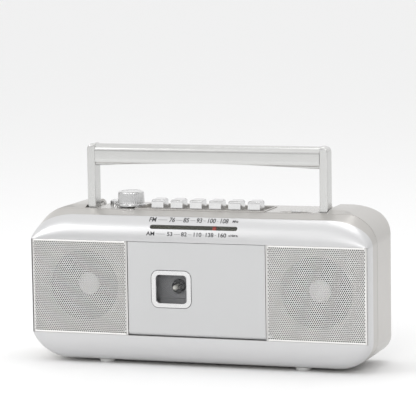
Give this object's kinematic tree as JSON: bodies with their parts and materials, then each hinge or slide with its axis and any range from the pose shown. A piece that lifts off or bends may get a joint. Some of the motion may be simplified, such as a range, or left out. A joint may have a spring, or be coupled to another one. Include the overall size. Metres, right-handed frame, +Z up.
{
  "type": "radio cassette recorder",
  "caption": "Portable silver stereo radio cassette recorder with folding carry handle, speaker grilles, tape door, piano keys and tuning dial.",
  "frame": {"origin": "under the middle of the body, on the surface that the feet stand on", "axes": "+X to the right seen from the front, +Y to the back, +Z up"},
  "size_m": [0.296, 0.078, 0.183],
  "materials": {
    "case_silver": "satin silver paint on moulded plastic",
    "deck_silver": "semi-gloss warm silver paint",
    "control_silver": "bright silver metallised plastic",
    "handle_silver": "satin silver paint",
    "door_silver": "fine satin light grey",
    "grille_metal": "perforated sheet, satin",
    "clear_window": "clear polished",
    "smoked_window": "smoked olive, polished",
    "pointer_red": "gloss",
    "cone_paper": "pressed paper, matt",
    "bright_steel": "bright plated",
    "zinc_steel": "zinc plated",
    "dark_plastic": "matt",
    "pale_plastic": "matt",
    "brass": "turned",
    "rubber": "matt",
    "board_green": "solder mask",
    "core_steel": "varnished laminations"
  },
  "bodies": {
    "case": {"front_cabinet": "case_silver", "rear_cabinet": "case_silver", "top_panel": "deck_silver", "key_surround": "deck_silver", "key_shaft": "bright_steel", "key_springs": "zinc_steel", "key_bracket": "zinc_steel", "tuning_capacitor": "dark_plastic", "dial_plate": "dark_plastic", "dial_lens": "smoked_window", "volume_control": "dark_plastic", "function_switch": "dark_plastic", "left_grille": "grille_metal", "right_grille": "grille_metal", "left_speaker_frame": "zinc_steel", "right_speaker_frame": "zinc_steel", "left_speaker_cone": "cone_paper", "right_speaker_cone": "cone_paper", "speaker_magnets": "zinc_steel", "door_springs": "zinc_steel", "transport_chassis": "zinc_steel", "drive_motor": "bright_steel", "drive_belt": "rubber", "circuit_board": "board_green", "power_transformer": "core_steel", "ferrite_antenna": "dark_plastic", "battery_contacts": "bright_steel", "mains_inlet": "dark_plastic", "headphone_socket": "dark_plastic", "feet": "rubber", "case_screws": "bright_steel"},
    "door": {"cassette_door": "door_silver", "window_frame": "door_silver", "door_window": "clear_window", "cassette_holder": "dark_plastic"},
    "handle": {"handle_arms": "handle_silver", "handle_grip": "handle_silver"},
    "tuning": {"tuning_knob": "control_silver", "tuning_drum": "pale_plastic"},
    "pointer": {"tuning_pointer": "pointer_red"},
    "volume": {"volume_wheel": "control_silver"},
    "function": {"function_slider": "control_silver"},
    "battery_door": {"battery_cover": "case_silver"},
    "antenna_swivel": {"antenna_base": "bright_steel", "antenna_tube": "bright_steel"},
    "antenna_middle": {"antenna_inner": "bright_steel"},
    "antenna_end": {"antenna_tip": "bright_steel"},
    "supply_reel": {"supply_spindle": "dark_plastic"},
    "takeup_reel": {"takeup_spindle": "dark_plastic"},
    "capstan": {"capstan_flywheel": "bright_steel"},
    "motor_rotor": {"motor_pulley": "brass"},
    "head_carriage": {"head_plate": "bright_steel", "tape_heads": "bright_steel"},
    "pinch": {"pinch_roller": "rubber"},
    "record_key": {"key_record": "control_silver"},
    "play_key": {"key_play": "control_silver"},
    "rewind_key": {"key_rewind": "control_silver"},
    "fast_forward_key": {"key_fast_forward": "control_silver"},
    "stop_eject_key": {"key_stop_eject": "control_silver"},
    "pause_key": {"key_pause": "control_silver"}
  },
  "joints": [
    {"name": "handle_fold", "type": "hinge", "parent": "case", "child": "handle", "pos_m": [0, -0.0033, 0.12], "axis": [-1, 0, 0], "range_deg": [0, 90]},
    {"name": "door_open", "type": "hinge", "parent": "case", "child": "door", "pos_m": [0, -0.0356, 0.0295], "axis": [1, 0, 0], "range_deg": [0, 35]},
    {"name": "record_press", "type": "hinge", "parent": "case", "child": "record_key", "pos_m": [0, 0.02, 0.114], "axis": [1, 0, 0], "range_deg": [0, 7], "stiffness_Nm_per_rad": 0.3, "springref_deg": -2.86},
    {"name": "play_press", "type": "hinge", "parent": "case", "child": "play_key", "pos_m": [0, 0.02, 0.114], "axis": [1, 0, 0], "range_deg": [0, 7], "stiffness_Nm_per_rad": 0.3, "springref_deg": -2.86},
    {"name": "rewind_press", "type": "hinge", "parent": "case", "child": "rewind_key", "pos_m": [0, 0.02, 0.114], "axis": [1, 0, 0], "range_deg": [0, 7], "stiffness_Nm_per_rad": 0.3, "springref_deg": -2.86},
    {"name": "fast_forward_press", "type": "hinge", "parent": "case", "child": "fast_forward_key", "pos_m": [0, 0.02, 0.114], "axis": [1, 0, 0], "range_deg": [0, 7], "stiffness_Nm_per_rad": 0.3, "springref_deg": -2.86},
    {"name": "stop_eject_press", "type": "hinge", "parent": "case", "child": "stop_eject_key", "pos_m": [0, 0.02, 0.114], "axis": [1, 0, 0], "range_deg": [0, 7], "stiffness_Nm_per_rad": 0.3, "springref_deg": -2.86},
    {"name": "pause_press", "type": "hinge", "parent": "case", "child": "pause_key", "pos_m": [0, 0.02, 0.114], "axis": [1, 0, 0], "range_deg": [0, 7], "stiffness_Nm_per_rad": 0.3, "springref_deg": -2.86},
    {"name": "tuning_turn", "type": "hinge", "parent": "case", "child": "tuning", "pos_m": [-0.07, 0.001, 0.129], "axis": [0, 0, -1], "range_deg": [-223, 76]},
    {"name": "pointer_slide", "type": "slide", "parent": "case", "child": "pointer", "axis": [1, 0, 0], "range_m": [-0.053, 0.0181]},
    {"name": "volume_turn", "type": "hinge", "parent": "case", "child": "volume", "pos_m": [-0.086, 0.015, 0.129], "axis": [0, 0, -1], "range_deg": [0, 300]},
    {"name": "function_slide", "type": "slide", "parent": "case", "child": "function", "axis": [1, 0, 0], "range_m": [-0.0052, 0.0052]},
    {"name": "battery_cover_open", "type": "hinge", "parent": "case", "child": "battery_door", "pos_m": [0, 0.0378, 0.016], "axis": [-1, 0, 0], "range_deg": [0, 70]},
    {"name": "antenna_raise", "type": "hinge", "parent": "case", "child": "antenna_swivel", "pos_m": [0.118, 0.036, 0.104], "axis": [0, 1, 0], "range_deg": [0, 90]},
    {"name": "antenna_extend", "type": "slide", "parent": "antenna_swivel", "child": "antenna_middle", "axis": [-1, 0, 0], "range_m": [0, 0.125]},
    {"name": "antenna_end_extend", "type": "slide", "parent": "antenna_middle", "child": "antenna_end", "axis": [-1, 0, 0], "range_m": [0, 0.125]},
    {"name": "supply_spin", "type": "hinge", "parent": "case", "child": "supply_reel", "pos_m": [-0.02125, -0.03, 0.0659], "axis": [0, 1, 0], "continuous": true},
    {"name": "takeup_spin", "type": "hinge", "parent": "case", "child": "takeup_reel", "pos_m": [0.02125, -0.03, 0.0659], "axis": [0, 1, 0], "continuous": true},
    {"name": "capstan_spin", "type": "hinge", "parent": "case", "child": "capstan", "pos_m": [0.031, -0.03, 0.0431], "axis": [0, 1, 0], "continuous": true},
    {"name": "motor_spin", "type": "hinge", "parent": "case", "child": "motor_rotor", "pos_m": [-0.032, -0.015, 0.0431], "axis": [0, 1, 0], "continuous": true},
    {"name": "head_rise", "type": "slide", "parent": "case", "child": "head_carriage", "axis": [0, 0, 1], "range_m": [0, 0.0058]},
    {"name": "pinch_spin", "type": "hinge", "parent": "head_carriage", "child": "pinch", "pos_m": [0.031, -0.026, 0.02945], "axis": [0, 1, 0], "continuous": true}
  ],
  "couplings": [
    {"joint": "pointer_slide", "follows": "tuning_turn", "m_per_rad": 0.013587},
    {"joint": "motor_spin", "follows": "capstan_spin", "ratio": 4.2609},
    {"joint": "head_rise", "follows": "play_press", "m_per_rad": 0.046655}
  ]
}
